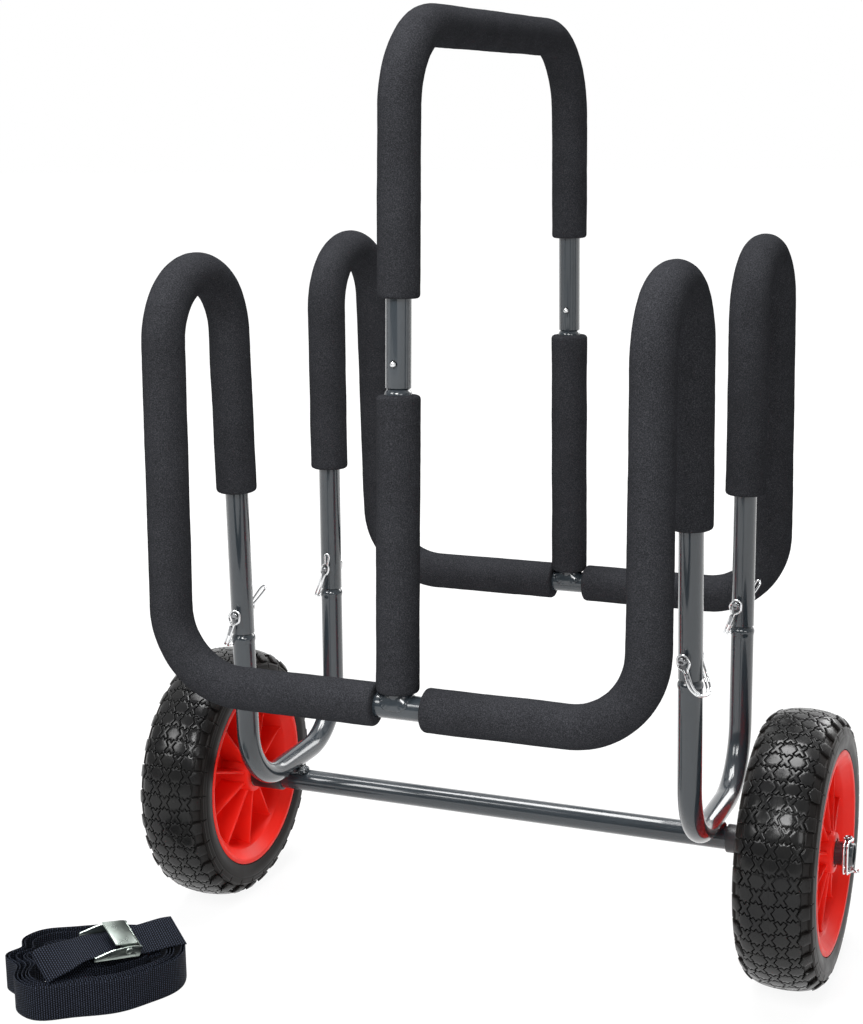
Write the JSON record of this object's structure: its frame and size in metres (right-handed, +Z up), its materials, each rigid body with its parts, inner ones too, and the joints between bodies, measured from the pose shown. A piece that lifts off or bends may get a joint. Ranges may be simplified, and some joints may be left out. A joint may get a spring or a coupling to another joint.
{
  "type": "double paddleboard cart",
  "caption": "Two-wheeled cart with padded cradle arms for two boards carried on edge, a tall handle loop between them, wire lock pins and a cam-buckle strap.",
  "frame": {"origin": "on the floor, midway between the wheels, under the axle", "axes": "+X along the axle towards the right-hand wheel, +Y to the rear, +Z up"},
  "size_m": [0.8822, 0.6766, 1.037],
  "materials": {
    "steel": "dark grey gloss powder coat on steel tube",
    "foam": "matt black closed-cell foam sleeve",
    "tyre": "black puncture-proof tyre with a moulded block tread",
    "red_plastic": "bright red moulded plastic, satin gloss",
    "chrome": "bright zinc or nickel plate on spring wire and pins",
    "zinc": "bright zinc plate on pressed steel",
    "black_plastic": "black moulded plastic",
    "nylon": "natural nylon",
    "webbing": "black woven polyester webbing"
  },
  "bodies": {
    "frame": {"axle_tube": "steel", "left_u_bracket": "steel", "right_u_bracket": "steel", "left_bracket_weld": "steel", "right_bracket_weld": "steel", "front_cradle_tube": "steel", "rear_cradle_tube": "steel", "front_mast_post": "steel", "rear_mast_post": "steel", "front_post_weld": "steel", "rear_post_weld": "steel", "handle_loop": "steel", "front_left_foam": "foam", "front_right_foam": "foam", "rear_left_foam": "foam", "rear_right_foam": "foam", "front_post_foam": "foam", "rear_post_foam": "foam", "handle_foam": "foam", "left_axle_spacer": "black_plastic", "right_axle_spacer": "black_plastic"},
    "left_wheel": {"left_tyre": "tyre", "left_rim": "red_plastic", "left_wheel_bush": "nylon"},
    "right_wheel": {"right_tyre": "tyre", "right_rim": "red_plastic", "right_wheel_bush": "nylon"},
    "front_left_lock": {"front_left_lock_pin": "chrome", "front_left_pin_bail": "chrome", "front_left_bail_ferrule": "chrome"},
    "front_right_lock": {"front_right_lock_pin": "chrome", "front_right_pin_bail": "chrome", "front_right_bail_ferrule": "chrome"},
    "rear_left_lock": {"rear_left_lock_pin": "chrome", "rear_left_pin_bail": "chrome", "rear_left_bail_ferrule": "chrome"},
    "rear_right_lock": {"rear_right_lock_pin": "chrome", "rear_right_pin_bail": "chrome", "rear_right_bail_ferrule": "chrome"},
    "left_axle_lock": {"left_axle_pin": "chrome", "left_axle_pin_bail": "chrome", "left_axle_bail_ferrule": "chrome"},
    "right_axle_lock": {"right_axle_pin": "chrome", "right_axle_pin_bail": "chrome", "right_axle_bail_ferrule": "chrome"},
    "front_button": {"front_snap_button": "chrome", "front_button_spring": "chrome"},
    "rear_button": {"rear_snap_button": "chrome", "rear_button_spring": "chrome"},
    "strap": {"strap_hank": "webbing", "strap_lap": "webbing", "buckle_body": "zinc", "cam_pin": "zinc"},
    "cam": {"cam_lever": "zinc"}
  },
  "joints": [
    {"name": "left_wheel_spin", "type": "hinge", "parent": "frame", "child": "left_wheel", "pos_m": [-0.35, 0, 0.15], "axis": [1, 0, 0], "continuous": true},
    {"name": "right_wheel_spin", "type": "hinge", "parent": "frame", "child": "right_wheel", "pos_m": [0.35, 0, 0.15], "axis": [1, 0, 0], "continuous": true},
    {"name": "front_left_pin_turn", "type": "hinge", "parent": "frame", "child": "front_left_lock", "pos_m": [-0.258, -0.11423, 0.3865], "axis": [0, 1, 0], "range_deg": [0, 120]},
    {"name": "front_right_pin_turn", "type": "hinge", "parent": "frame", "child": "front_right_lock", "pos_m": [0.258, -0.11423, 0.3865], "axis": [-0.2079, -0.9781, 0], "range_deg": [0, 120]},
    {"name": "rear_left_pin_turn", "type": "hinge", "parent": "frame", "child": "rear_left_lock", "pos_m": [-0.258, 0.11423, 0.3865], "axis": [0, 1, 0], "range_deg": [0, 120]},
    {"name": "rear_right_pin_turn", "type": "hinge", "parent": "frame", "child": "rear_right_lock", "pos_m": [0.258, 0.11423, 0.3865], "axis": [0.2079, 0.9781, 0], "range_deg": [0, 120]},
    {"name": "left_axle_pin_turn", "type": "hinge", "parent": "frame", "child": "left_axle_lock", "pos_m": [-0.4026, 0, 0.15], "axis": [0, 0, -1], "range_deg": [0, 110]},
    {"name": "right_axle_pin_turn", "type": "hinge", "parent": "frame", "child": "right_axle_lock", "pos_m": [0.4026, 0, 0.15], "axis": [0, 0, 1], "range_deg": [0, 110]},
    {"name": "front_button_press", "type": "slide", "parent": "frame", "child": "front_button", "axis": [0, 1, 0], "range_m": [0, 0.004], "stiffness_N_per_m": 600, "springref_m": -0.004},
    {"name": "rear_button_press", "type": "slide", "parent": "frame", "child": "rear_button", "axis": [0, 1, 0], "range_m": [0, 0.004], "stiffness_N_per_m": 600, "springref_m": -0.004},
    {"name": "strap_lift", "type": "slide", "parent": "frame", "child": "strap", "axis": [0, 0, 1], "range_m": [0, 0.2]},
    {"name": "cam_press", "type": "hinge", "parent": "strap", "child": "cam", "pos_m": [-0.32546, -0.28998, 0.05997], "axis": [0.7814, -0.5318, -0.3264], "range_deg": [0, 38], "stiffness_Nm_per_rad": 0.08, "springref_deg": -28.65}
  ]
}
